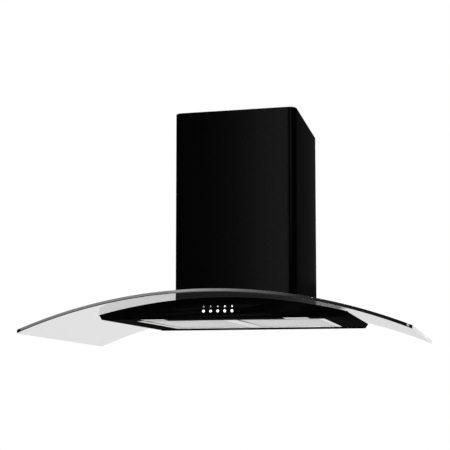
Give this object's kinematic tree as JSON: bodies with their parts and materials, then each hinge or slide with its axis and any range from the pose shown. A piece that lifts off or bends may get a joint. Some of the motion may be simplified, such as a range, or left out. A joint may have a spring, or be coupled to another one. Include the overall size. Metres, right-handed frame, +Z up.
{
  "type": "curved glass range hood",
  "caption": "Wall-hung cooker hood: arched clear glass canopy over a slim black tray with push buttons, drop-down grease filters and lamps, blower and drawn-up chimney cover.",
  "frame": {"origin": "middle of the back face of the wall bracket, on the wall", "axes": "+X to the right as seen by the cook, +Y into the wall, +Z up"},
  "size_m": [0.76, 0.517, 0.4708],
  "materials": {
    "glass": "clear tempered glass with a polished green-grey edge",
    "rubber": "black rubber strip",
    "black_paint": "gloss black powder coat on steel",
    "black_panel": "deep gloss black lacquer",
    "chrome_trim": "polished chrome plate",
    "black_plastic": "moulded black nylon",
    "grey_plastic": "moulded grey plastic",
    "circuit_board": "green glass-epoxy board",
    "zinc_steel": "zinc plated sheet steel",
    "aluminium": "layered aluminium mesh in a rolled channel",
    "bright_metal": "nickel plated wire",
    "frosted_lens": "frosted white lamp lens"
  },
  "bodies": {
    "hood": {"glass_canopy": "glass", "glass_gasket": "rubber", "body_tray": "black_paint", "chimney_outer": "black_paint", "control_panel": "black_panel", "flap_axle": "chrome_trim", "switch_block": "black_plastic", "blower_scroll": "black_plastic", "blower_side_left": "black_plastic", "blower_side_right": "black_plastic", "fan_motor": "black_plastic", "outlet_collar": "black_plastic", "terminal_box": "black_plastic", "terminal_cover": "black_plastic", "cable_gland": "black_plastic", "run_capacitor": "grey_plastic", "switch_board": "circuit_board", "filter_frame": "zinc_steel", "motor_housing": "zinc_steel", "housing_top_plate": "zinc_steel", "housing_back_plate": "zinc_steel", "wall_bracket": "zinc_steel", "clamp_frame": "zinc_steel", "motor_bracket": "zinc_steel", "chimney_bracket": "zinc_steel", "filter_clip_left_1": "zinc_steel", "filter_clip_left_2": "zinc_steel", "glass_screw_front_left": "zinc_steel", "glass_screw_back_left": "zinc_steel", "lamp_lens_left": "frosted_lens", "lamp_housing_left": "grey_plastic", "lamp_board_left": "circuit_board", "filter_clip_right_1": "zinc_steel", "filter_clip_right_2": "zinc_steel", "glass_screw_front_right": "zinc_steel", "glass_screw_back_right": "zinc_steel", "lamp_lens_right": "frosted_lens", "lamp_housing_right": "grey_plastic", "lamp_board_right": "circuit_board"},
    "chimney_inner": {"chimney_inner": "black_paint"},
    "impeller": {"impeller_disc": "grey_plastic", "impeller_cage_left": "grey_plastic", "impeller_cage_right": "grey_plastic", "motor_shaft": "chrome_trim"},
    "flap_front": {"flap_front": "black_plastic"},
    "flap_rear": {"flap_rear": "black_plastic"},
    "filter_left": {"filter_channel_left": "aluminium", "filter_mesh_left": "aluminium"},
    "handle_left": {"filter_handle_left": "bright_metal"},
    "filter_right": {"filter_channel_right": "aluminium", "filter_mesh_right": "aluminium"},
    "handle_right": {"filter_handle_right": "bright_metal"},
    "button_1": {"push_button_1": "chrome_trim"},
    "button_2": {"push_button_2": "chrome_trim"},
    "button_3": {"push_button_3": "chrome_trim"},
    "button_4": {"push_button_4": "chrome_trim"},
    "button_5": {"push_button_5": "chrome_trim"}
  },
  "joints": [
    {"name": "inner_cover_slide", "type": "slide", "parent": "hood", "child": "chimney_inner", "axis": [0, 0, 1], "range_m": [0, 0.3]},
    {"name": "impeller_spin", "type": "hinge", "parent": "hood", "child": "impeller", "pos_m": [0, -0.15, -0.042], "axis": [1, 0, 0], "continuous": true},
    {"name": "flap_front_swing", "type": "hinge", "parent": "hood", "child": "flap_front", "pos_m": [0, -0.093, 0.0953], "axis": [-1, 0, 0], "range_deg": [0, 75]},
    {"name": "flap_rear_swing", "type": "hinge", "parent": "hood", "child": "flap_rear", "pos_m": [0, -0.093, 0.0953], "axis": [1, 0, 0], "range_deg": [0, 75]},
    {"name": "filter_left_drop", "type": "hinge", "parent": "hood", "child": "filter_left", "pos_m": [-0.0949, -0.0268, -0.198], "axis": [1, 0, 0], "range_deg": [0, 70]},
    {"name": "handle_left_swing", "type": "hinge", "parent": "filter_left", "child": "handle_left", "pos_m": [-0.0949, -0.3296, -0.1955], "axis": [-1, 0, 0], "range_deg": [0, 90]},
    {"name": "filter_right_drop", "type": "hinge", "parent": "hood", "child": "filter_right", "pos_m": [0.0949, -0.0268, -0.198], "axis": [1, 0, 0], "range_deg": [0, 70]},
    {"name": "handle_right_swing", "type": "hinge", "parent": "filter_right", "child": "handle_right", "pos_m": [0.0949, -0.3296, -0.1955], "axis": [-1, 0, 0], "range_deg": [0, 90]},
    {"name": "button_1_press", "type": "slide", "parent": "hood", "child": "button_1", "axis": [0, 1, 0], "range_m": [0, 0.002], "stiffness_N_per_m": 500, "springref_m": -0.001},
    {"name": "button_2_press", "type": "slide", "parent": "hood", "child": "button_2", "axis": [0, 1, 0], "range_m": [0, 0.002], "stiffness_N_per_m": 500, "springref_m": -0.001},
    {"name": "button_3_press", "type": "slide", "parent": "hood", "child": "button_3", "axis": [0, 1, 0], "range_m": [0, 0.002], "stiffness_N_per_m": 500, "springref_m": -0.001},
    {"name": "button_4_press", "type": "slide", "parent": "hood", "child": "button_4", "axis": [0, 1, 0], "range_m": [0, 0.002], "stiffness_N_per_m": 500, "springref_m": -0.001},
    {"name": "button_5_press", "type": "slide", "parent": "hood", "child": "button_5", "axis": [0, 1, 0], "range_m": [0, 0.002], "stiffness_N_per_m": 500, "springref_m": -0.001}
  ]
}
